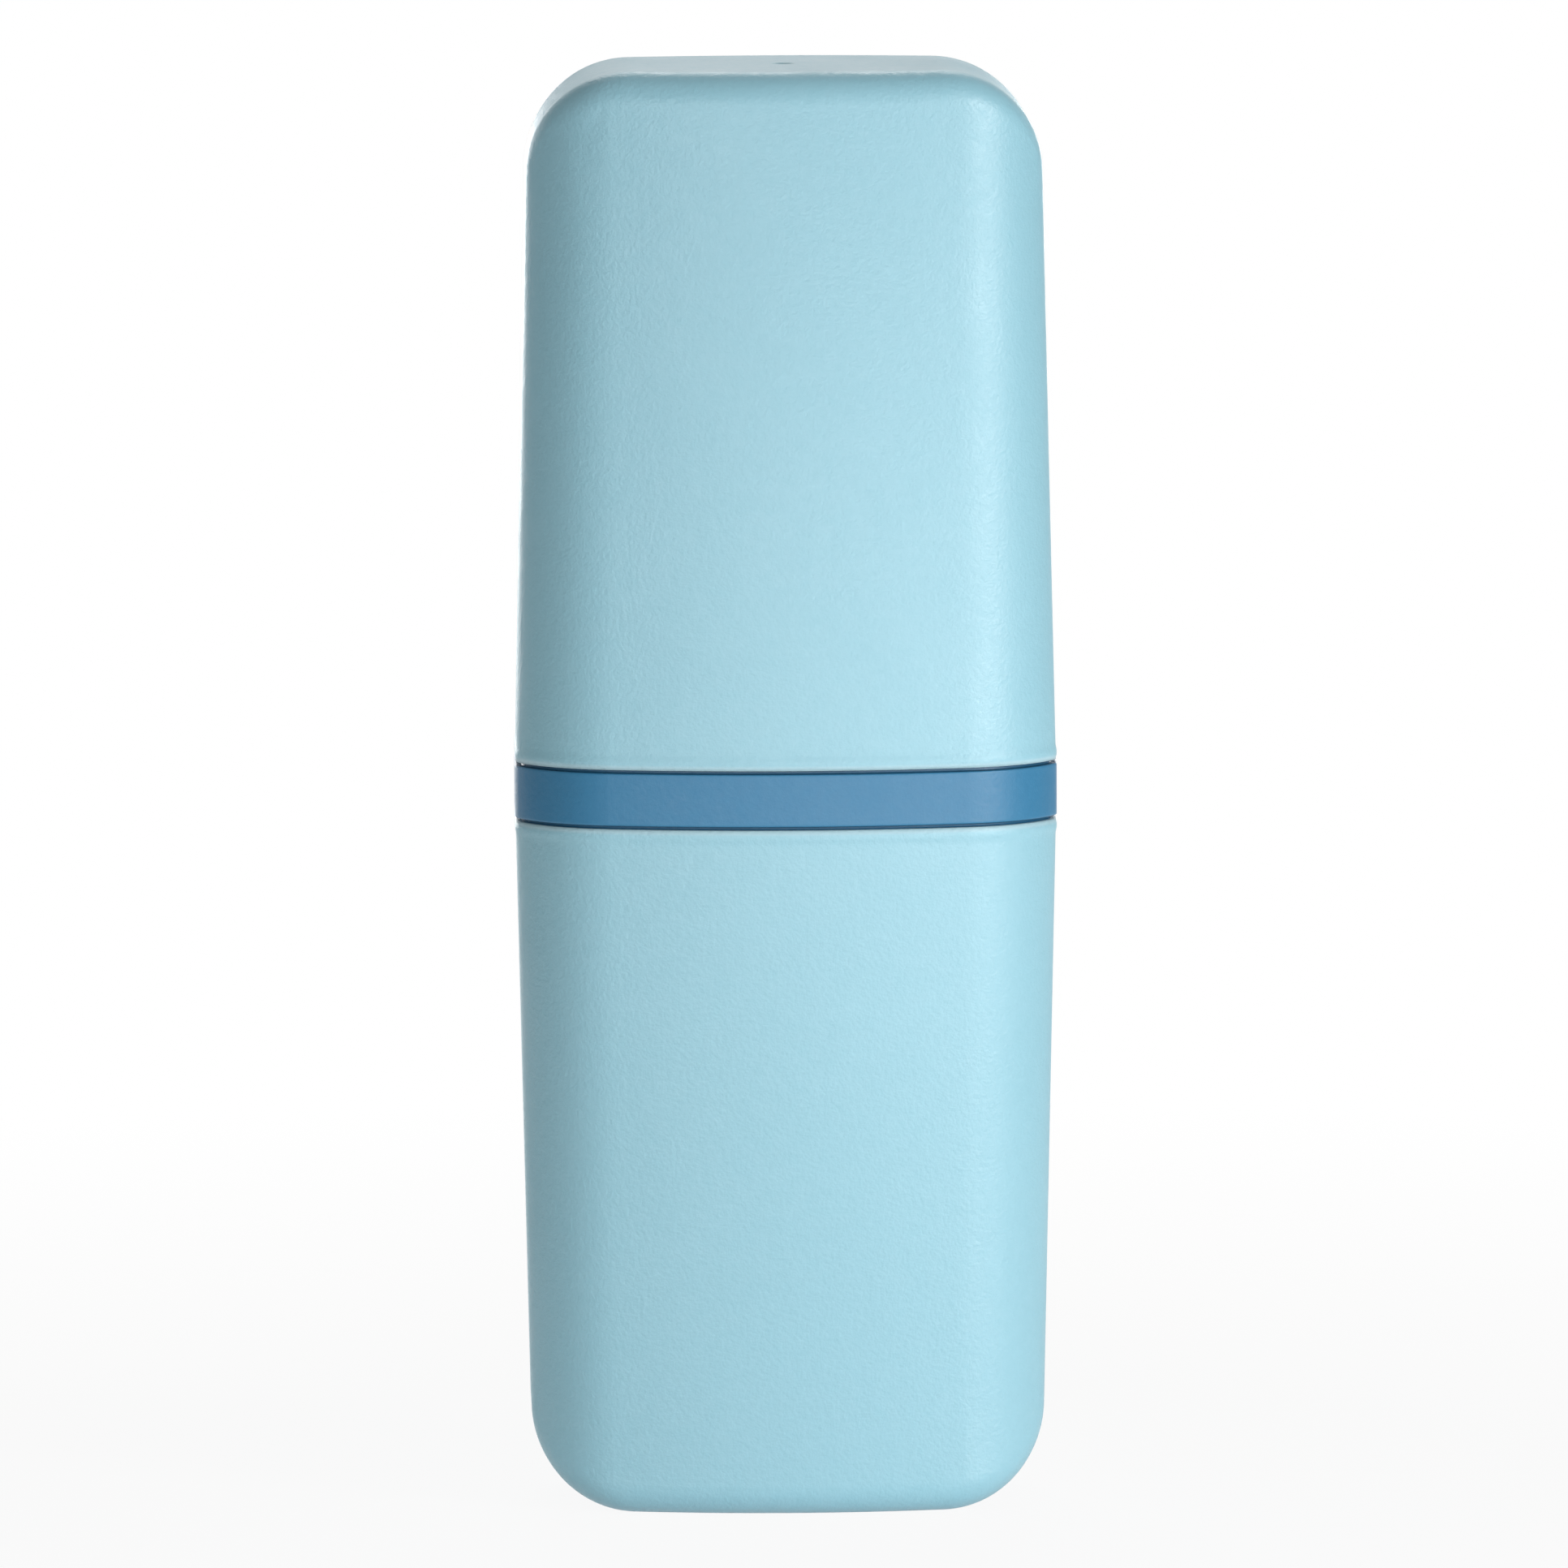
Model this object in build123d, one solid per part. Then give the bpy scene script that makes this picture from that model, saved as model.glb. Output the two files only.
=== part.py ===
from build123d import *
import os
from math import radians, tan

# Electric toothbrush travel case.
#
# Two drafted cups meet rim to rim on a collar, whose band shows between them. The case stands on the
# lower cup. A deck hangs in the collar: its soft ring holds the toothbrush handle, which stands on a
# drip tray at the bottom, and its two pegs carry spare brush heads inside the upper cup.
# Millimetres, +Z up, front towards -Y. The origin is the centre of the base.

# ---- form of the case
RIM_WIDTH = 78.0  # across the flat sides, at the rims
RIM_DEPTH = 50.0  # front to back, at the rims
CROWN_RADIUS = 107.0  # bulge of the front and back faces
CORNER_RADIUS = 19.0  # plan rounding between a crowned face and a side
CORNER_CUT = 1.3  # how much of that rounding each flat side cuts away
EDGE_RADIUS = 4.5  # rounding that runs along the sides and round the closed end
DRAFT = 1.22  # degrees, every outer and inner wall of both cups
LOWER_HEIGHT = 99.9
UPPER_HEIGHT = 100.1
LOWER_END_RADIUS = 15.0  # front view corners of the closed end
UPPER_END_RADIUS = 15.2
WALL = 1.8

# ---- cup details
LIP_HEIGHT = 1.3  # thickened rim
LIP_PROUD = 0.12
LIP_FADE_HEIGHT = 1.0  # over which the lip slopes back into the wall
LIP_FADE_ANGLE = 12.0
RIM_ROUND = 0.7  # outer edge of each rim
RIM_LEAD_IN = 0.3
RIM_LEAD_IN_ANGLE = 45.0
GATE_RADIUS = 1.6  # moulding gate mark, in the middle of the closed end
GATE_FLOOR_RADIUS = 1.1
GATE_DEPTH = 0.4
GATE_NUB_RADIUS = 0.6
GATE_NUB_HEIGHT = 0.25
FOOT_WIDTH = 3.0  # ring that the case stands on
FOOT_RECESS = 0.6

# ---- collar
RIM_GAP = 8.6  # from rim to rim
SEAM_GAP = 0.5  # shadow line between each rim and the band
SEAT_LAND = 1.25  # width of the raised land that carries each rim
BAND_PROUD = 0.12
BAND_BEVEL = 0.15
NECK_HEIGHT = 11.0
NECK_WALL = 1.6
NECK_CLEARANCE = 0.3
NECK_LEAD_IN = 0.5
LEDGE_RISE = 1.0  # underside of the deck's ledge above the lower rim
LEDGE_WIDTH = 1.6
LEDGE_THICKNESS = 2.0

# ---- seals, one round each neck
SEAL_OFFSET = 3.0  # from the land to the groove
SEAL_HEIGHT = 2.0
SEAL_DEPTH = 0.9
SEAL_PROUD = 0.12
SEAL_FIT = 0.05
SEAL_BEVEL = 0.3

# ---- snap beads on the neck's flat sides, and the grooves that they click into
BEAD_OFFSET = 8.0  # from the rim
BEAD_LENGTH = 12.0
BEAD_RADIUS = 0.8
BEAD_PROUD = 0.18
BEAD_GROOVE_DEPTH = 0.3
BEAD_END_PLAY = 1.5

# ---- deck
DECK_CLEARANCE = 0.3
DECK_THICKNESS = 2.0
DECK_LIP_HEIGHT = 4.0
DECK_LIP_WALL = 1.2
DECK_LIP_BEVEL = 0.4
DECK_RIB_DEPTH = 2.5
DECK_RIB_THICKNESS = 1.2
TAB_WIDTH = 16.0  # finger tab that lifts the deck out
TAB_HEIGHT = 15.0
TAB_THICKNESS = 1.8
TAB_ROUND = 6.0
TAB_EDGE_BEVEL = 0.4
GRIP_LINES = 3  # raised lines on the tab
GRIP_LINE_PITCH = 2.6
GRIP_LINE_RADIUS = 0.5
GRIP_LINE_LENGTH = 9.0
GRIP_LINE_DROP = 3.0  # from the tab's top to the first line

# ---- handle hole and its soft ring
HANDLE_SIDE_GAP = 3.2  # from the deck's left edge to the boss round the hole
HANDLE_BORE_RADIUS = 14.6
GRIP_WALL = 1.5
GRIP_FIT = 0.1
GRIP_FLANGE_WIDTH = 1.2
GRIP_FLANGE_THICKNESS = 1.2
GRIP_FLANGE_ROUND = 0.5
GRIP_LEAD_IN = 0.8
BOSS_WALL = 1.4
BOSS_RISE = 5.0  # above the deck plate
BOSS_DROP = 5.0  # below the deck
BOSS_SHELF_THICKNESS = 1.2
BOSS_SHELF_RELIEF = 0.5

# ---- brush head pegs
HEAD_SPACING = 19.0  # from the front peg to the rear one
PEG_RADIUS = 2.0
PEG_LENGTH = 20.0
PEG_TIP_LENGTH = 1.5
PEG_TIP_RADIUS = 1.2
PEG_FLANGE_RADIUS = 4.0
PEG_FLANGE_THICKNESS = 1.0
PEG_SHANK_RADIUS = 1.6
PEG_FIT = 0.05
PEG_END_PLAY = 0.4
SEAT_MARGIN = 0.5  # deck seat round each peg's flange
SEAT_RISE = 2.0
SOCKET_WALL = 1.4
SOCKET_DROP = 3.5
DRAINS = 8  # slots round each peg
DRAIN_WIDTH = 1.8
DRAIN_GAP = 0.6  # from the peg's seat
DRAIN_LENGTH = 2.6

# ---- drip tray
TRAY_CLEARANCE = 0.3
TRAY_LIFT = 6.0  # underside of its plate above the cup's floor
TRAY_PLATE = 1.8
TRAY_LIP_HEIGHT = 4.0
TRAY_LIP_WALL = 1.3
TRAY_RIBS = 3
TRAY_RIB_PITCH = 16.0
TRAY_RIB_THICKNESS = 1.5
TRAY_ARCH_RADIUS = 3.0  # water way under each rib
TRAY_ARCH_PITCH = 12.0
TRAY_SLOT_WIDTH = 2.2
TRAY_SLOT_LENGTH = 22.0
TRAY_SLOT_PITCH = 4.5
TRAY_SLOT_STEPS = (-2, -1, 1, 2)  # either side of the right rib
FOOT_SOCKET_PLAY = 0.4
FOOT_SOCKET_WALL = 1.4
FOOT_SOCKET_HEIGHT = 12.0
FOOT_NOTCHES = 3  # drain notches at the foot of the socket wall
FOOT_NOTCH_WIDTH = 5.0
FOOT_NOTCH_HEIGHT = 3.0
PAD_RADIUS = 11.0
PAD_THICKNESS = 2.0
PAD_RECESS = 0.8
PAD_FIT = 0.2
PAD_RINGS = 3
PAD_RING_PITCH = 3.2
PAD_RING_WIDTH = 1.2
PAD_RING_HEIGHT = 0.5

# ---- bumper under the upper cup's ceiling
BUMPER_MARGIN = 3.5  # inside the flat of the ceiling
BUMPER_ROUND = 5.0
BUMPER_BASE = 1.4
BUMPER_RIBS = 5
BUMPER_RIB_HEIGHT = 1.1
BUMPER_RIB_WIDTH = 2.4
BUMPER_RIB_PITCH = 6.4
BUMPER_RIB_LENGTH = 20.0
BUMPER_FIT = 0.2
BUMPER_FRAME_WALL = 1.0
BUMPER_FRAME_HEIGHT = 1.0

BAR_BEVEL_SHARE = 0.6  # bevel at the ends of beads and grip lines, of their radius
LEAST_ROUND = 2.0  # smallest rounding of a plan's side corners, on deep insets

# ---- levels and insets worked out from the sizes above
LOWER_RIM_Z = LOWER_HEIGHT
UPPER_RIM_Z = LOWER_RIM_Z + RIM_GAP
LEDGE_Z = LOWER_RIM_Z + LEDGE_RISE
DECK_Z = LEDGE_Z + LEDGE_THICKNESS
DECK_TOP_Z = DECK_Z + DECK_THICKNESS
SEAT_Z = DECK_TOP_Z + SEAT_RISE
BOSS_Z = DECK_Z - BOSS_DROP
BOSS_TOP_Z = DECK_TOP_Z + BOSS_RISE
SHELF_Z = BOSS_Z + BOSS_SHELF_THICKNESS
TRAY_Z = WALL + TRAY_LIFT
TRAY_TOP_Z = TRAY_Z + TRAY_PLATE
CEILING_Z = UPPER_RIM_Z + UPPER_HEIGHT - WALL


def lean(height):
    """How far a drafted wall leans in over a height."""
    return height * tan(radians(DRAFT))


NECK_INSET = WALL + NECK_CLEARANCE
BORE_INSET = NECK_INSET + NECK_WALL + lean(NECK_HEIGHT)
DECK_INSET = BORE_INSET + DECK_CLEARANCE
GRIP_RADIUS = HANDLE_BORE_RADIUS + GRIP_WALL
BOSS_BORE_RADIUS = GRIP_RADIUS + GRIP_FIT
BOSS_RADIUS = BOSS_BORE_RADIUS + BOSS_WALL
HANDLE_X = HANDLE_SIDE_GAP + BOSS_RADIUS + DECK_INSET - RIM_WIDTH / 2
TAB_X = RIM_WIDTH / 2 - DECK_INSET
HEAD_X = (HANDLE_X + BOSS_RADIUS + TAB_X - TAB_THICKNESS) / 2  # midway from the boss to the tab
SOCKET_BORE_RADIUS = PEG_SHANK_RADIUS + PEG_FIT
SEAT_RADIUS = PEG_FLANGE_RADIUS + SEAT_MARGIN
FOOT_SOCKET_RADIUS = HANDLE_BORE_RADIUS + FOOT_SOCKET_PLAY


# ---- plan outlines
def widest_corner(half_width):
    """Corner radius at which the front and rear corners would meet in the middle of the side."""
    centre = CROWN_RADIUS - RIM_DEPTH / 2
    return (CROWN_RADIUS**2 - half_width**2 - centre**2) / (2 * (CROWN_RADIUS - half_width))


def crowned_plan(inset):
    """Plan between the two crowned faces, its corners rounded, before the flat sides are cut."""
    bulge = Circle(CROWN_RADIUS - inset)
    centre = CROWN_RADIUS - RIM_DEPTH / 2
    half_width = RIM_WIDTH / 2 + CORNER_CUT
    blank = Rectangle(2 * (half_width - inset), 2 * RIM_DEPTH)
    plan = Pos(0, centre) * bulge & Pos(0, -centre) * bulge & blank
    return fillet(plan.vertices(), min(CORNER_RADIUS, widest_corner(half_width) - LEAST_ROUND) - inset)


def case_plan(inset):
    """Plan of the case at the rims, this far inside its outer face."""
    half_width = RIM_WIDTH / 2 - inset
    plan = crowned_plan(inset) & Rectangle(2 * half_width, 2 * RIM_DEPTH)
    side_corners = plan.vertices().group_by(lambda v: round(abs(v.X), 3))[-1]
    return fillet(side_corners, max(EDGE_RADIUS - inset, LEAST_ROUND))


def flat_end_plan(height, end_radius, margin):
    """Flat part of a cup's closed end, less a margin."""
    inset = lean(height) + EDGE_RADIUS + margin
    width = RIM_WIDTH - 2 * (lean(height) + end_radius + margin)
    return case_plan(inset) & Rectangle(width, 2 * RIM_DEPTH)


def slab(inset, bottom, height, taper=0.0):
    """Solid with the case's plan, standing on a level."""
    return Pos(0, 0, bottom) * extrude(case_plan(inset), amount=height, taper=taper)


def post(radius, bottom, height, x=0.0):
    """Round post standing on a level."""
    return Pos(x, 0, bottom) * Cylinder(radius, height, align=(Align.CENTER, Align.CENTER, Align.MIN))


def block(length, width, height):
    """Box that stands on Z 0."""
    return Box(length, width, height, align=(Align.CENTER, Align.CENTER, Align.MIN))


def side_bar(radius, length):
    """Round bar along Y with bevelled ends."""
    bar = Cylinder(radius, length)
    return Rot(90, 0, 0) * chamfer(bar.edges().filter_by(GeomType.CIRCLE), radius * BAR_BEVEL_SHARE)


# ---- cups, built with the rim at Z 0 and the closed end up
def cup_form(inset, height, end_radius):
    """Solid form of a cup: drafted crowned prism, front view profile, then the long rounding."""
    top = height - inset
    prism = extrude(crowned_plan(inset), amount=top)
    walls = [f for f in prism.faces() if abs(f.normal_at().Z) < abs(f.normal_at().X) + abs(f.normal_at().Y)]
    prism = draft(walls, Plane.XY, DRAFT)
    rim_half = RIM_WIDTH / 2 - inset
    end_half = rim_half - lean(top)
    corners = [(-rim_half, 0), (-end_half, top), (end_half, top), (rim_half, 0)]
    profile = make_face(Plane.XZ * Polyline(*corners, close=True))
    profile = fillet(profile.vertices().group_by(Axis.Z)[-1], end_radius - inset)
    form = prism & extrude(profile, amount=RIM_DEPTH, both=True)
    rim = form.edges().group_by(Axis.Z)[0]
    outline = [e for e in form.edges() if e.geom_type != GeomType.LINE and e not in rim]
    return fillet(outline, EDGE_RADIUS - inset)


def rim_lip():
    """Thickened rim that slopes back into the wall."""
    lip = slab(-LIP_PROUD, 0, LIP_HEIGHT)
    lip = fillet(lip.edges().group_by(Axis.Z)[0], RIM_ROUND)
    return lip + slab(-LIP_PROUD, LIP_HEIGHT, LIP_FADE_HEIGHT, taper=LIP_FADE_ANGLE)


def bead_grooves():
    """Grooves inside the flat side walls."""
    axis_x = RIM_WIDTH / 2 - WALL - lean(BEAD_OFFSET) + BEAD_GROOVE_DEPTH - BEAD_RADIUS
    bar = side_bar(BEAD_RADIUS, BEAD_LENGTH + 2 * BEAD_END_PLAY)
    return [Pos(side * axis_x, 0, BEAD_OFFSET) * bar for side in (-1, 1)]


def open_cup(height, end_radius):
    shell = cup_form(0, height, end_radius) + rim_lip()
    shell -= cup_form(WALL, height, end_radius)
    shell -= slab(WALL - RIM_LEAD_IN, 0, RIM_LEAD_IN, taper=RIM_LEAD_IN_ANGLE)
    return shell - bead_grooves()


def gate_mark():
    """Shallow dimple in a face at Z 0 that looks up, less the nub left standing in it."""
    standing = (Align.CENTER, Align.CENTER, Align.MAX)
    dimple = Cone(GATE_FLOOR_RADIUS, GATE_RADIUS, GATE_DEPTH, align=standing)
    return dimple - post(GATE_NUB_RADIUS, -GATE_DEPTH, GATE_NUB_HEIGHT)


def bumper_plan(grow):
    """Plan of the ceiling bumper, grown all round."""
    plan = flat_end_plan(UPPER_HEIGHT, UPPER_END_RADIUS, BUMPER_MARGIN - grow)
    return fillet(plan.vertices(), BUMPER_ROUND + grow)


def upper_cup():
    cup = Pos(0, 0, UPPER_RIM_Z) * open_cup(UPPER_HEIGHT, UPPER_END_RADIUS)
    frame = bumper_plan(BUMPER_FIT + BUMPER_FRAME_WALL) - bumper_plan(BUMPER_FIT)
    cup += Pos(0, 0, CEILING_Z) * extrude(frame, amount=-BUMPER_FRAME_HEIGHT)
    return cup - Pos(0, 0, UPPER_RIM_Z + UPPER_HEIGHT) * gate_mark()


def lower_cup():
    cup = Pos(0, 0, LOWER_RIM_Z) * Rot(180, 0, 0) * open_cup(LOWER_HEIGHT, LOWER_END_RADIUS)
    recess = flat_end_plan(LOWER_HEIGHT, LOWER_END_RADIUS, FOOT_WIDTH)
    recess = fillet(recess.vertices(), FOOT_WIDTH)
    cup -= extrude(recess, amount=FOOT_RECESS)
    return cup - Pos(0, 0, FOOT_RECESS) * Rot(180, 0, 0) * gate_mark()


def ceiling_bumper():
    base = extrude(bumper_plan(0), amount=-BUMPER_BASE)
    rib = SlotOverall(BUMPER_RIB_LENGTH, BUMPER_RIB_WIDTH, rotation=90)
    ribs = Sketch() + [place * rib for place in GridLocations(BUMPER_RIB_PITCH, 0, BUMPER_RIBS, 1)]
    ribs = extrude(ribs & bumper_plan(0), amount=-BUMPER_RIB_HEIGHT)
    return Pos(0, 0, CEILING_Z) * (base + Pos(0, 0, -BUMPER_BASE) * ribs)


# ---- collar
def neck():
    """Neck that stands up into a cup from the land at Z 0, with its seal groove and snap beads."""
    wall = slab(NECK_INSET, 0, NECK_HEIGHT, taper=DRAFT)
    wall = chamfer(wall.edges().group_by(Axis.Z)[-1], NECK_LEAD_IN)
    groove = slab(0, SEAL_OFFSET - SEAL_FIT, SEAL_HEIGHT + 2 * SEAL_FIT)
    groove -= slab(NECK_INSET + SEAL_DEPTH, SEAL_OFFSET - SEAL_FIT, SEAL_HEIGHT + 2 * SEAL_FIT)
    axis_x = RIM_WIDTH / 2 - NECK_INSET - lean(BEAD_OFFSET) + BEAD_PROUD - BEAD_RADIUS
    bead = side_bar(BEAD_RADIUS, BEAD_LENGTH)
    return wall - groove + [Pos(side * axis_x, 0, BEAD_OFFSET) * bead for side in (-1, 1)]


def collar_ring():
    band = slab(-BAND_PROUD, LOWER_RIM_Z + SEAM_GAP, RIM_GAP - 2 * SEAM_GAP)
    band = chamfer(band.edges().group_by(Axis.Z)[0] + band.edges().group_by(Axis.Z)[-1], BAND_BEVEL)
    ring = band + slab(NECK_INSET - SEAT_LAND, LOWER_RIM_Z, RIM_GAP)
    ring += Pos(0, 0, UPPER_RIM_Z) * neck()
    ring += Pos(0, 0, LOWER_RIM_Z) * Rot(180, 0, 0) * neck()
    ring -= slab(BORE_INSET, LOWER_RIM_Z - NECK_HEIGHT, RIM_GAP + 2 * NECK_HEIGHT)
    ledge = slab(BORE_INSET, LEDGE_Z, LEDGE_THICKNESS)
    return ring + (ledge - slab(BORE_INSET + LEDGE_WIDTH, LEDGE_Z, LEDGE_THICKNESS))


def seal():
    """Soft loop in the groove of a neck whose land is at Z 0."""
    face_inset = NECK_INSET + lean(SEAL_OFFSET + SEAL_HEIGHT) - SEAL_PROUD
    loop = slab(face_inset, SEAL_OFFSET, SEAL_HEIGHT)
    loop = chamfer(loop.edges().group_by(Axis.Z)[0] + loop.edges().group_by(Axis.Z)[-1], SEAL_BEVEL)
    return loop - slab(NECK_INSET + SEAL_DEPTH - SEAL_FIT, SEAL_OFFSET, SEAL_HEIGHT)


def upper_seal():
    return Pos(0, 0, UPPER_RIM_Z) * seal()


def lower_seal():
    return Pos(0, 0, LOWER_RIM_Z) * Rot(180, 0, 0) * seal()


# ---- deck
PEG_PLACES = [Pos(HEAD_X, -HEAD_SPACING / 2, 0), Pos(HEAD_X, HEAD_SPACING / 2, 0)]  # front, rear


def finger_tab():
    """Tab that rises from the deck's lip at the right, with raised lines on its inner face."""
    blank = Pos(0, TAB_HEIGHT / 2) * Rectangle(TAB_WIDTH, TAB_HEIGHT)
    blank = fillet(blank.vertices().group_by(Axis.Y)[-1], TAB_ROUND)
    tab = extrude(Plane.YZ * blank, amount=-TAB_THICKNESS)
    tab = chamfer(tab.edges().filter_by(lambda e: e.center().Z > DECK_LIP_HEIGHT), TAB_EDGE_BEVEL)
    line = side_bar(GRIP_LINE_RADIUS, GRIP_LINE_LENGTH)
    line_levels = [TAB_HEIGHT - GRIP_LINE_DROP - n * GRIP_LINE_PITCH for n in range(GRIP_LINES)]
    tab += [Pos(-TAB_THICKNESS, 0, level) * line for level in line_levels]
    return Pos(TAB_X, 0, DECK_TOP_Z) * tab


def deck_ribs():
    """Cross of stiffening ribs under the deck, inside its ledge."""
    reach = slab(DECK_INSET + LEDGE_WIDTH, DECK_Z - DECK_RIB_DEPTH, DECK_RIB_DEPTH)
    long_rib = Pos(HANDLE_X + RIM_WIDTH / 2, 0, 0) * block(RIM_WIDTH, DECK_RIB_THICKNESS, DECK_RIB_DEPTH)
    cross_rib = Pos(HEAD_X, 0, 0) * block(DECK_RIB_THICKNESS, RIM_DEPTH, DECK_RIB_DEPTH)
    return reach & Pos(0, 0, DECK_Z - DECK_RIB_DEPTH) * (long_rib + cross_rib)


def handle_boss():
    """Tube round the handle hole, kept within the deck's outline, with a shelf under the soft ring."""
    boss = post(BOSS_RADIUS, BOSS_Z, BOSS_TOP_Z - BOSS_Z, HANDLE_X)
    return boss & slab(DECK_INSET, BOSS_Z, BOSS_TOP_Z - BOSS_Z)


def peg_sockets():
    """Seat above the deck and socket below it for each peg."""
    socket_z = DECK_Z - SOCKET_DROP
    seat = post(SEAT_RADIUS, DECK_TOP_Z, SEAT_RISE)
    socket = post(SOCKET_BORE_RADIUS + SOCKET_WALL, socket_z, SOCKET_DROP)
    return [place * (seat + socket) for place in PEG_PLACES]


def peg_holes():
    """Bore of each socket, and the drain slots round it."""
    bore = post(SOCKET_BORE_RADIUS, DECK_Z - SOCKET_DROP, SEAT_Z - DECK_Z + SOCKET_DROP)
    slot = Pos(0, 0, DECK_Z) * extrude(SlotOverall(DRAIN_LENGTH, DRAIN_WIDTH), amount=DECK_THICKNESS)
    ring = PolarLocations(SEAT_RADIUS + DRAIN_GAP + DRAIN_LENGTH / 2, DRAINS, 180 / DRAINS)
    return [place * hole for place in PEG_PLACES for hole in [bore] + [turn * slot for turn in ring]]


def organizer_deck():
    deck = slab(DECK_INSET, DECK_Z, DECK_THICKNESS + DECK_LIP_HEIGHT)
    deck -= slab(DECK_INSET + DECK_LIP_WALL, DECK_TOP_Z, DECK_LIP_HEIGHT)
    deck = chamfer(deck.edges().group_by(Axis.Z)[-1], DECK_LIP_BEVEL)
    deck += [finger_tab(), deck_ribs(), handle_boss()] + peg_sockets()
    deck -= post(BOSS_BORE_RADIUS, SHELF_Z, BOSS_TOP_Z - SHELF_Z, HANDLE_X)
    deck -= post(HANDLE_BORE_RADIUS + BOSS_SHELF_RELIEF, BOSS_Z, BOSS_SHELF_THICKNESS, HANDLE_X)
    return deck - peg_holes()


def handle_grip():
    """Soft ring in the deck's boss: a bush with a flange on top and a lead-in at each end."""
    flange_radius = GRIP_RADIUS + GRIP_FLANGE_WIDTH
    top_z = BOSS_TOP_Z + GRIP_FLANGE_THICKNESS
    outline = [
        (HANDLE_BORE_RADIUS, SHELF_Z + GRIP_LEAD_IN),
        (HANDLE_BORE_RADIUS + GRIP_LEAD_IN, SHELF_Z),
        (GRIP_RADIUS, SHELF_Z),
        (GRIP_RADIUS, BOSS_TOP_Z),
        (flange_radius, BOSS_TOP_Z),
        (flange_radius, top_z),
        (HANDLE_BORE_RADIUS + GRIP_LEAD_IN, top_z),
        (HANDLE_BORE_RADIUS, top_z - GRIP_LEAD_IN),
    ]
    profile = make_face(Plane.XZ * Polyline(*outline, close=True))
    flange_corner = profile.vertices().group_by(Axis.X)[-1].sort_by(Axis.Z)[-1]
    profile = fillet(flange_corner, GRIP_FLANGE_ROUND)
    return Pos(HANDLE_X, 0, 0) * revolve(profile, Axis.Z)


def head_peg(place):
    """Turned peg: shank in the deck's socket, flange on its seat, post with a tapered tip."""
    flange_top = SEAT_Z + PEG_FLANGE_THICKNESS
    outline = [
        (0, DECK_Z - SOCKET_DROP + PEG_END_PLAY),
        (PEG_SHANK_RADIUS, DECK_Z - SOCKET_DROP + PEG_END_PLAY),
        (PEG_SHANK_RADIUS, SEAT_Z),
        (PEG_FLANGE_RADIUS, SEAT_Z),
        (PEG_FLANGE_RADIUS, flange_top),
        (PEG_RADIUS, flange_top),
        (PEG_RADIUS, flange_top + PEG_LENGTH - PEG_TIP_LENGTH),
        (PEG_TIP_RADIUS, flange_top + PEG_LENGTH),
        (0, flange_top + PEG_LENGTH),
    ]
    profile = make_face(Plane.XZ * Polyline(*outline, close=True))
    return place * revolve(profile, Axis.Z)


def head_peg_front():
    return head_peg(PEG_PLACES[0])


def head_peg_rear():
    return head_peg(PEG_PLACES[1])


# ---- drip tray
def cavity(margin):
    """Space inside the lower cup, less a margin."""
    form = cup_form(WALL + margin, LOWER_HEIGHT, LOWER_END_RADIUS)
    return Pos(0, 0, LOWER_RIM_Z) * Rot(180, 0, 0) * form


def tray_ribs():
    """Cross ribs that stand on the cup's floor, each arched so that water runs under it."""
    rib = block(TRAY_RIB_THICKNESS, RIM_DEPTH, TRAY_LIFT)
    arch = Cylinder(TRAY_ARCH_RADIUS, TRAY_RIB_THICKNESS, rotation=(0, 90, 0))
    rib -= [place * arch for place in GridLocations(0, TRAY_ARCH_PITCH, 1, 2)]
    ribs = [Pos(0, 0, WALL) * place * rib for place in GridLocations(TRAY_RIB_PITCH, 0, TRAY_RIBS, 1)]
    floor = extrude(flat_end_plan(LOWER_HEIGHT, LOWER_END_RADIUS, TRAY_CLEARANCE), amount=TRAY_Z)
    return Part() + ribs & floor


def foot_socket():
    """Ring wall round the foot of the handle, with drain notches at its foot."""
    outer_radius = FOOT_SOCKET_RADIUS + FOOT_SOCKET_WALL
    ring = post(outer_radius, 0, FOOT_SOCKET_HEIGHT) - post(FOOT_SOCKET_RADIUS, 0, FOOT_SOCKET_HEIGHT)
    notch = Pos(outer_radius, 0, 0) * block(outer_radius, FOOT_NOTCH_WIDTH, FOOT_NOTCH_HEIGHT)
    ring -= [turn * notch for turn in PolarLocations(0, FOOT_NOTCHES)]
    return Pos(HANDLE_X, 0, TRAY_TOP_Z) * ring


def drip_tray():
    dish_height = TRAY_PLATE + TRAY_LIP_HEIGHT
    dish = Pos(0, 0, TRAY_Z) * block(RIM_WIDTH, RIM_DEPTH, dish_height) & cavity(TRAY_CLEARANCE)
    hollow = Pos(0, 0, TRAY_TOP_Z) * block(RIM_WIDTH, RIM_DEPTH, TRAY_LIP_HEIGHT)
    tray = dish - (hollow & cavity(TRAY_CLEARANCE + TRAY_LIP_WALL)) + tray_ribs() + foot_socket()
    tray -= post(PAD_RADIUS + PAD_FIT, TRAY_TOP_Z - PAD_RECESS, PAD_RECESS, HANDLE_X)
    slot = extrude(SlotOverall(TRAY_SLOT_LENGTH, TRAY_SLOT_WIDTH, rotation=90), amount=TRAY_PLATE)
    return tray - [Pos(TRAY_RIB_PITCH + n * TRAY_SLOT_PITCH, 0, TRAY_Z) * slot for n in TRAY_SLOT_STEPS]


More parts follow.
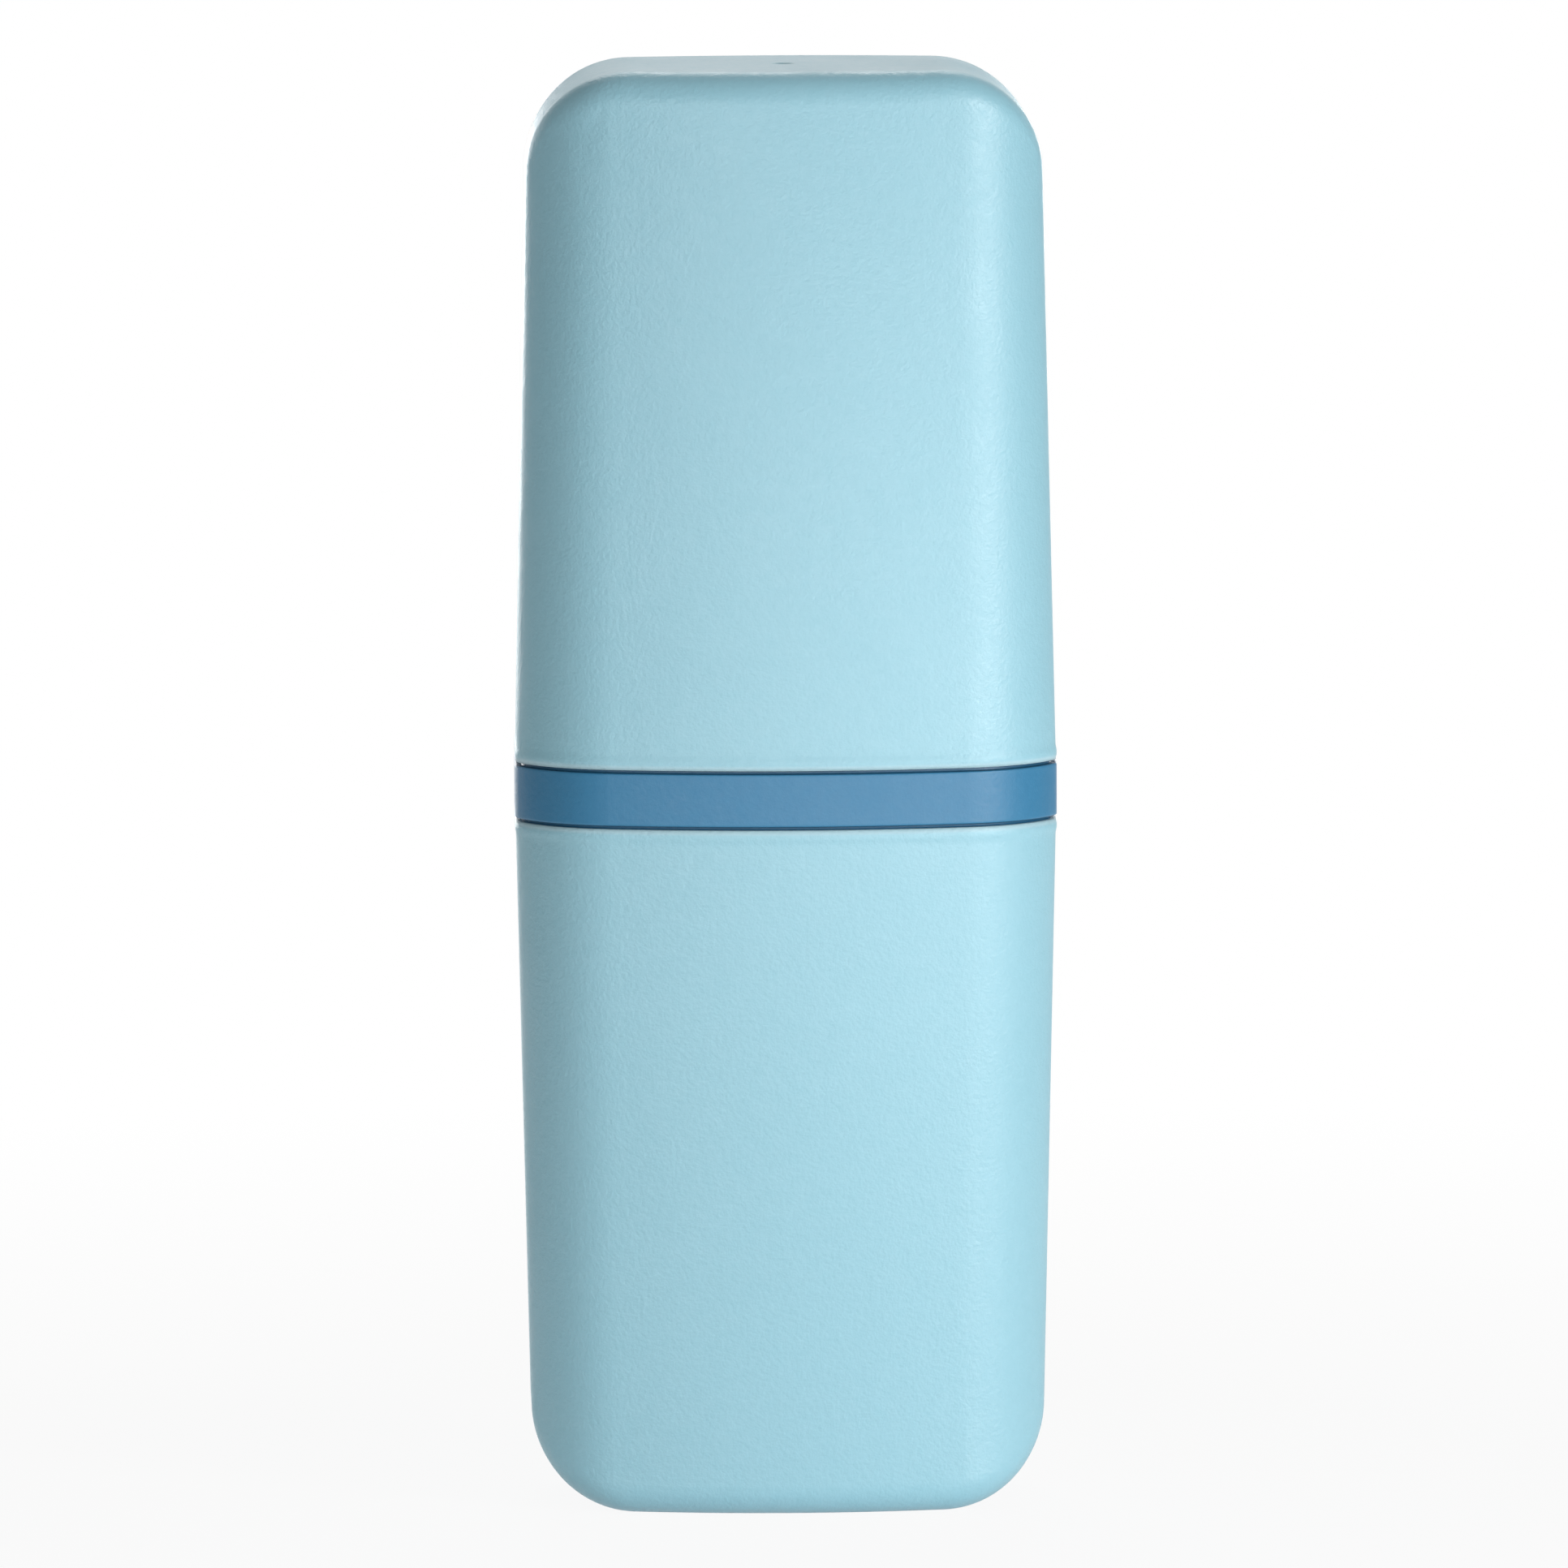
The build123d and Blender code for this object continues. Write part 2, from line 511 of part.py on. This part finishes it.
def foot_pad():
    """Soft disc that the handle stands on, with raised rings."""
    base = TRAY_TOP_Z - PAD_RECESS
    pad = post(PAD_RADIUS, base, PAD_THICKNESS)
    for outer_radius in [n * PAD_RING_PITCH for n in range(1, PAD_RINGS + 1)]:
        ring = Circle(outer_radius) - Circle(outer_radius - PAD_RING_WIDTH)
        pad += Pos(0, 0, base + PAD_THICKNESS) * extrude(ring, amount=PAD_RING_HEIGHT)
    return Pos(HANDLE_X, 0, 0) * pad


PARTS = [
    lower_cup,
    drip_tray,
    foot_pad,
    collar_ring,
    upper_seal,
    lower_seal,
    organizer_deck,
    handle_grip,
    head_peg_front,
    head_peg_rear,
    upper_cup,
    ceiling_bumper,
]

os.makedirs("parts", exist_ok=True)
for make_part in PARTS:
    export_step(make_part(), f"parts/{make_part.__name__}.step")
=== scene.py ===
from math import cos, radians, sin

import bpy
from mathutils import Matrix, Vector


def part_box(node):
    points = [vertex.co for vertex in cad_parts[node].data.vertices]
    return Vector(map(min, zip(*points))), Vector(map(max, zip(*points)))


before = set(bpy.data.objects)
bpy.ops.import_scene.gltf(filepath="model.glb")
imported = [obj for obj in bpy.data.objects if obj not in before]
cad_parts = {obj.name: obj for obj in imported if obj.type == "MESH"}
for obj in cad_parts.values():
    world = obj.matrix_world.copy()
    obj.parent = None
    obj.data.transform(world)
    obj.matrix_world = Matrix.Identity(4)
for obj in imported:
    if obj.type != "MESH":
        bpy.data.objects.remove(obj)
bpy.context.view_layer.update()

# Electric toothbrush travel case: two satin cups pushed onto a darker collar. Metres.

# ---- camera, at the photograph's viewing angle: metres, degrees, and pixels of the photograph
IMAGE_SIDE = 1932
FOCAL_PIXELS = 20510.0
SENSOR_MM = 36.0
CAMERA_DISTANCE = 2.4
CAMERA_HEIGHT = 0.3627
CAMERA_AZIMUTH = -1.345
CAMERA_ROLL = -0.181
AIM = Vector((-0.00008, 0.0, 0.10398))


def linear(red, green, blue):
    """Linear colour of an sRGB colour given in 0 to 255."""
    out = []
    for value in (red, green, blue):
        v = value / 255
        out.append(v / 12.92 if v <= 0.04045 else ((v + 0.055) / 1.055) ** 2.4)
    return (*out, 1.0)


def add_camera():
    data = bpy.data.cameras.new("camera")
    data.sensor_width = SENSOR_MM
    data.lens = SENSOR_MM * FOCAL_PIXELS / IMAGE_SIDE
    data.clip_start, data.clip_end = 0.05, 50.0
    camera = bpy.data.objects.new("camera", data)
    bpy.context.scene.collection.objects.link(camera)
    around = radians(CAMERA_AZIMUTH)
    place = Vector((CAMERA_DISTANCE * sin(around), -CAMERA_DISTANCE * cos(around), CAMERA_HEIGHT))
    look = (AIM - place).to_track_quat("-Z", "Y").to_matrix().to_4x4()
    roll = Matrix.Rotation(radians(CAMERA_ROLL), 4, "Z")
    camera.matrix_world = Matrix.Translation(place) @ look @ roll
    bpy.context.scene.camera = camera


# ---- heights that the materials follow
LOWER_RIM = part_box("lower_cup")[1].z
UPPER_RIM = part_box("upper_cup")[0].z
BAND_MIDDLE = (LOWER_RIM + UPPER_RIM) / 2
SEAM = 0.0005  # open gap between each rim and the band
SEAM_FADE = SEAM / 5
RIM_HIGHLIGHT_HEIGHT = 0.0004  # height of each rim's painted highlight line

# ---- the plastics' shared detail: noise scales per metre, lengths in metres
NOISE_SPAN = (0.3, 0.7)  # where most of a noise's values lie
FLOW_SCALE = 22.0
SPECKLE_SCALE, SPECKLE = 650.0, 0.35  # moves the colour by this share of the way from shade to plain
WEAR_SCALE, WEAR_SPAN, LEAST_WEAR = 180.0, (0.35, 0.65), 0.3
HANDLED_SCALE, HANDLED = 60.0, 0.045  # added to the roughness or taken from it, as the next is
MOTTLE_SCALE, MOTTLE = 800.0, 0.04
GRAIN_SCALE, GRAIN_DEPTH = 1500.0, 0.00012
EDGE_START, EDGE_FULL = 0.96, 0.80  # cosine of the turn between the rounded and the true normal
ROUNDING_SAMPLES = 8
EDGE_RADIUS = 0.0004  # shading radius of the other pieces' edges
CUP_EDGE, CUP_JOIN = 0.001, 0.004  # shading radius at the cups' rims and ends, and between them
RIM_ZONE, END_ZONE = (0.008, 0.014), (0.084, 0.094)  # distances from the middle of the band


# ---- nodes
def new_material(name):
    material = bpy.data.materials.new(name)
    material.use_nodes = True
    tree = material.node_tree
    return material, tree, tree.nodes["Principled BSDF"]


def feed(tree, socket, value):
    """Set a socket to a number or colour, or link it to another socket."""
    if isinstance(value, (float, tuple)):
        socket.default_value = value
    else:
        tree.links.new(value, socket)


def combine(tree, operation, one, other):
    """Math node on two values, each a socket or a number."""
    node = tree.nodes.new("ShaderNodeMath")
    node.operation = operation
    for socket, value in zip(node.inputs, (one, other)):
        feed(tree, socket, value)
    return node.outputs["Value"]


def map_range(tree, value, low, high, out_low, out_high):
    node = tree.nodes.new("ShaderNodeMapRange")
    limits = {"From Min": low, "From Max": high, "To Min": out_low, "To Max": out_high}
    for name, number in limits.items():
        node.inputs[name].default_value = number
    tree.links.new(value, node.inputs["Value"])
    return node.outputs["Result"]


def noise(tree, coords, scale, detail=2.0, roughness=0.5):
    node = tree.nodes.new("ShaderNodeTexNoise")
    node.inputs["Scale"].default_value = scale
    node.inputs["Detail"].default_value = detail
    node.inputs["Roughness"].default_value = roughness
    tree.links.new(coords, node.inputs["Vector"])
    return node.outputs["Fac"]


def swing(tree, value, amount):
    """A noise turned into a number between minus and plus an amount."""
    return map_range(tree, value, *NOISE_SPAN, -amount, amount)


def tinted(tree, colour, tint, mask):
    """A colour that turns to a tint where the mask is 1; both are sockets or fixed colours."""
    node = tree.nodes.new("ShaderNodeMixRGB")
    tree.links.new(mask, node.inputs["Fac"])
    feed(tree, node.inputs["Color1"], colour)
    feed(tree, node.inputs["Color2"], tint)
    return node.outputs["Color"]


def distance_from(tree, coords, height):
    """How far a point lies above or below a height."""
    split = tree.nodes.new("ShaderNodeSeparateXYZ")
    tree.links.new(coords, split.inputs["Vector"])
    return combine(tree, "ABSOLUTE", combine(tree, "SUBTRACT", split.outputs["Z"], height), 0.0)


def strip(tree, coords, middle, half, fade):
    """1 within half of a height, fading to 0 on both sides."""
    return map_range(tree, distance_from(tree, coords, middle), half, half + fade, 1.0, 0.0)


def rounded_normal(tree, radius):
    """Normal of the surface with its edges and joins rounded off; the radius is a number or a socket."""
    bevel = tree.nodes.new("ShaderNodeBevel")
    bevel.samples = ROUNDING_SAMPLES
    feed(tree, bevel.inputs["Radius"], radius)
    return bevel.outputs["Normal"]


def cup_rounding(tree, coords):
    """A small radius at the rims and ends, a large one between, which hides the join of crown and corner."""
    away = distance_from(tree, coords, BAND_MIDDLE)
    from_rim = map_range(tree, away, *RIM_ZONE, CUP_EDGE, CUP_JOIN)
    to_end = map_range(tree, away, *END_ZONE, CUP_JOIN, CUP_EDGE)
    return combine(tree, "MINIMUM", from_rim, to_end)


def edges(tree, rounded):
    """1 along sharp edges, where the rounded normal turns away from the true one."""
    turn = tree.nodes.new("ShaderNodeVectorMath")
    turn.operation = "DOT_PRODUCT"
    tree.links.new(rounded, turn.inputs[0])
    tree.links.new(tree.nodes.new("ShaderNodeNewGeometry").outputs["Normal"], turn.inputs[1])
    return map_range(tree, turn.outputs["Value"], EDGE_FULL, EDGE_START, 1.0, 0.0)


# ---- materials
def moulded_plastic(name, colours, roughness, specular=0.5, grain=0.8, radius=None):
    """Satin moulded plastic: fine grain, flow shading, speckle, handled patches, slightly paler edges.

    colours are the plain one, its shade and the one of worn edges; radius makes the shading radius of
    the edges from the tree and its coordinates, where it isn't the same everywhere.
    """
    plain, shade, worn = (linear(*colour) for colour in colours)
    material, tree, bsdf = new_material(name)
    coords = tree.nodes.new("ShaderNodeTexCoord").outputs["Object"]
    rounded = rounded_normal(tree, radius(tree, coords) if radius else EDGE_RADIUS)

    flow = map_range(tree, noise(tree, coords, FLOW_SCALE, 3.0), *NOISE_SPAN, SPECKLE, 1.0 - SPECKLE)
    speckle = swing(tree, noise(tree, coords, SPECKLE_SCALE, 3.0, 0.7), SPECKLE)
    colour = tinted(tree, shade, plain, combine(tree, "ADD", flow, speckle))
    wear = map_range(tree, noise(tree, coords, WEAR_SCALE, 3.0), *WEAR_SPAN, LEAST_WEAR, 1.0)
    wear = combine(tree, "MULTIPLY", edges(tree, rounded), wear)
    tree.links.new(tinted(tree, colour, worn, wear), bsdf.inputs["Base Color"])

    handled = swing(tree, noise(tree, coords, HANDLED_SCALE, 4.0, 0.6), HANDLED)
    mottle = swing(tree, noise(tree, coords, MOTTLE_SCALE), MOTTLE)
    uneven = combine(tree, "ADD", combine(tree, "ADD", handled, mottle), roughness)
    tree.links.new(uneven, bsdf.inputs["Roughness"])
    bsdf.inputs["Specular IOR Level"].default_value = specular

    bump = tree.nodes.new("ShaderNodeBump")
    bump.inputs["Strength"].default_value = grain
    bump.inputs["Distance"].default_value = GRAIN_DEPTH
    tree.links.new(noise(tree, coords, GRAIN_SCALE, 3.0, 0.6), bump.inputs["Height"])
    tree.links.new(rounded, bump.inputs["Normal"])
    tree.links.new(bump.outputs["Normal"], bsdf.inputs["Normal"])
    return material


def add_strips(material, middles, half, fade, tint):
    """Tint a material on a strip at each of two heights."""
    tree = material.node_tree
    base = tree.nodes["Principled BSDF"].inputs["Base Color"]
    colour = base.links[0].from_socket
    coords = tree.nodes.new("ShaderNodeTexCoord").outputs["Object"]
    lower, upper = (strip(tree, coords, middle, half, fade) for middle in middles)
    mask = combine(tree, "MAXIMUM", lower, upper)
    tree.links.new(tinted(tree, colour, linear(*tint), mask), base)


# sRGB colours: plain, shade, worn; the cups' worn colour also serves as their painted rim highlight
CUP_COLOURS = (168, 221, 237), (161, 217, 233), (190, 229, 241)
COLLAR_COLOURS = (49, 133, 177), (43, 128, 173), (74, 150, 190)
DECK_COLOURS = (60, 139, 184), (56, 135, 180), (96, 158, 194)
TRAY_COLOURS = (166, 220, 236), (162, 217, 233), (190, 229, 241)
PEG_COLOURS = (226, 229, 231), (222, 226, 228), (236, 238, 239)
SILICONE_COLOURS = (200, 206, 210), (194, 201, 206), (208, 213, 217)
# colour of the painted shade in the seam gaps
SEAM_PAINTED_SHADE = (20, 92, 128)

# pale cups, with a painted highlight line round each rim
CUP = moulded_plastic("cup_satin", CUP_COLOURS, 0.42, specular=1.0, radius=cup_rounding)
RIM_HIGHLIGHT_LINES = LOWER_RIM - RIM_HIGHLIGHT_HEIGHT / 2, UPPER_RIM + RIM_HIGHLIGHT_HEIGHT / 2
# the paler strip at each rim is a painted highlight, drawn in the worn colour
add_strips(CUP, RIM_HIGHLIGHT_LINES, RIM_HIGHLIGHT_HEIGHT / 2, RIM_HIGHLIGHT_HEIGHT, CUP_COLOURS[2])

# darker collar, with painted shade in the seams beside the band
COLLAR = moulded_plastic("collar_satin", COLLAR_COLOURS, 0.4, specular=0.8, grain=0.35)
SEAM_LINES = LOWER_RIM + SEAM / 2, UPPER_RIM - SEAM / 2
# the dark strips at the seams are painted shade, where the gap's shadow falls
add_strips(COLLAR, SEAM_LINES, SEAM / 2, SEAM_FADE, SEAM_PAINTED_SHADE)

DECK = moulded_plastic("deck_satin", DECK_COLOURS, 0.45)
TRAY = moulded_plastic("tray_satin", TRAY_COLOURS, 0.45)
PEG = moulded_plastic("peg_satin", PEG_COLOURS, 0.42)
SILICONE = moulded_plastic("silicone_matte", SILICONE_COLOURS, 0.62, grain=0.4)

MATERIAL_NODES = (
    (CUP, ("lower_cup", "upper_cup")),
    (COLLAR, ("collar_ring",)),
    (DECK, ("organizer_deck",)),
    (TRAY, ("drip_tray",)),
    (PEG, ("head_peg_front", "head_peg_rear")),
    (SILICONE, ("handle_grip", "foot_pad", "ceiling_bumper", "upper_seal", "lower_seal")),
)
for material, nodes in MATERIAL_NODES:
    for node in nodes:
        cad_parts[node].material_slots[0].material = material


# ---- studio
WHITE = 1.0  # what the camera, mirrors and clear parts see of the background
PAPER_WIDTH = 1.35  # the roll of pale paper under the object
PAPER_FRONT, PAPER_BACK = -0.7, 3.7
PAPER_TONE, PAPER_ROUGHNESS = 0.65, 0.9
PAPER_GLOW = 0.92  # share of white in the paper round the object, which keeps a soft shadow
SHADOW_REACH, GLOW_REACH = 0.12, 0.45  # from the object's axis, over which the glow rises to all white
# how far a mirrored ray must point backwards to meet the backdrop
BACKDROP_START, BACKDROP_FULL = 0.7, 0.9
WORLD_LIGHT = 0.238  # strength of the even light from all round

MIDDLE = Vector((0, 0, 0.1))
# azimuth and elevation in degrees, distance, width and height in metres, watts
SOFTBOXES = {
    "key": (52, 10, 1.6, (0.4, 0.4), 9.8),
    "front": (-15, 3, 1.6, (0.4, 0.4), 2.5),
    "near_front": (10, 2, 0.3, (0.14, 0.12), 0.125),
    "near_right": (36, -4, 0.3, (0.14, 0.12), 0.1),
    "back": (192, 1, 1.6, (1.8, 0.16), 9.5),
    "top": (180, 40, 1.6, (0.8, 0.6), 4.5),
}


def either(tree, one, other):
    return combine(tree, "MAXIMUM", one, other)


def both(tree, one, other):
    return combine(tree, "MULTIPLY", one, other)


def background_rays(tree, mirrored=None):
    """1 for rays that meet the white background: seen directly, through something clear, or mirrored."""
    path = tree.nodes.new("ShaderNodeLightPath")
    glossy = path.outputs["Is Glossy Ray"]
    if mirrored is not None:
        glossy = both(tree, glossy, mirrored)
    direct = either(tree, path.outputs["Is Camera Ray"], path.outputs["Is Transmission Ray"])
    return either(tree, direct, glossy)


def add_floor():
    """Pale paper: it glows to the camera, keeps a soft shadow, and lights the object from below."""
    half = PAPER_WIDTH / 2
    mesh = bpy.data.meshes.new("floor")
    front = [(-half, PAPER_FRONT, 0), (half, PAPER_FRONT, 0)]
    back = [(half, PAPER_BACK, 0), (-half, PAPER_BACK, 0)]
    mesh.from_pydata(front + back, [], [(0, 1, 2, 3)])
    floor = bpy.data.objects.new("floor", mesh)
    bpy.context.scene.collection.objects.link(floor)
    material, tree, bsdf = new_material("floor_white")
    bsdf.inputs["Base Color"].default_value = (*(PAPER_TONE,) * 3, 1.0)
    bsdf.inputs["Roughness"].default_value = PAPER_ROUGHNESS
    glow = tree.nodes.new("ShaderNodeEmission")
    glow.inputs["Strength"].default_value = WHITE
    mix = tree.nodes.new("ShaderNodeMixShader")
    away = tree.nodes.new("ShaderNodeVectorMath")
    away.operation = "LENGTH"
    tree.links.new(tree.nodes.new("ShaderNodeTexCoord").outputs["Object"], away.inputs[0])
    share = map_range(tree, away.outputs["Value"], SHADOW_REACH, GLOW_REACH, PAPER_GLOW, 1.0)
    tree.links.new(both(tree, background_rays(tree), share), mix.inputs["Fac"])
    tree.links.new(bsdf.outputs["BSDF"], mix.inputs[1])
    tree.links.new(glow.outputs["Emission"], mix.inputs[2])
    tree.links.new(mix.outputs["Shader"], tree.nodes["Material Output"].inputs["Surface"])
    mesh.materials.append(material)


def add_world():
    """White to the camera, a white backdrop behind the object in mirrored rays, and even light elsewhere."""
    world = bpy.data.worlds.new("studio")
    world.use_nodes = True
    bpy.context.scene.world = world
    tree = world.node_tree
    background = tree.nodes["Background"]
    background.inputs["Color"].default_value = (1.0, 1.0, 1.0, 1.0)
    way_out = tree.nodes.new("ShaderNodeSeparateXYZ")
    tree.links.new(tree.nodes.new("ShaderNodeTexCoord").outputs["Generated"], way_out.inputs["Vector"])
    backdrop = map_range(tree, way_out.outputs["Y"], BACKDROP_START, BACKDROP_FULL, 0.0, 1.0)
    strength = map_range(tree, background_rays(tree, backdrop), 0.0, 1.0, WORLD_LIGHT, WHITE)
    tree.links.new(strength, background.inputs["Strength"])


def way(azimuth, elevation, distance):
    """A place that far from the middle of the object, in degrees right of its front and above it."""
    around, up = radians(azimuth), radians(elevation)
    return MIDDLE + distance * Vector((sin(around) * cos(up), -cos(around) * cos(up), sin(up)))


def add_softbox(name, place, size, power):
    """A softbox that faces the object and that the camera doesn't see."""
    data = bpy.data.lights.new(name, "AREA")
    data.shape = "RECTANGLE"
    data.size, data.size_y = size
    data.energy = power
    light = bpy.data.objects.new(name, data)
    light.visible_camera = False
    bpy.context.scene.collection.objects.link(light)
    turn = (MIDDLE - place).to_track_quat("-Z", "Y").to_matrix().to_4x4()
    light.matrix_world = Matrix.Translation(place) @ turn


bpy.context.scene.view_settings.view_transform = "Standard"
add_camera()
add_floor()
add_world()
for name, (azimuth, elevation, distance, size, power) in SOFTBOXES.items():
    add_softbox(name, way(azimuth, elevation, distance), size, power)
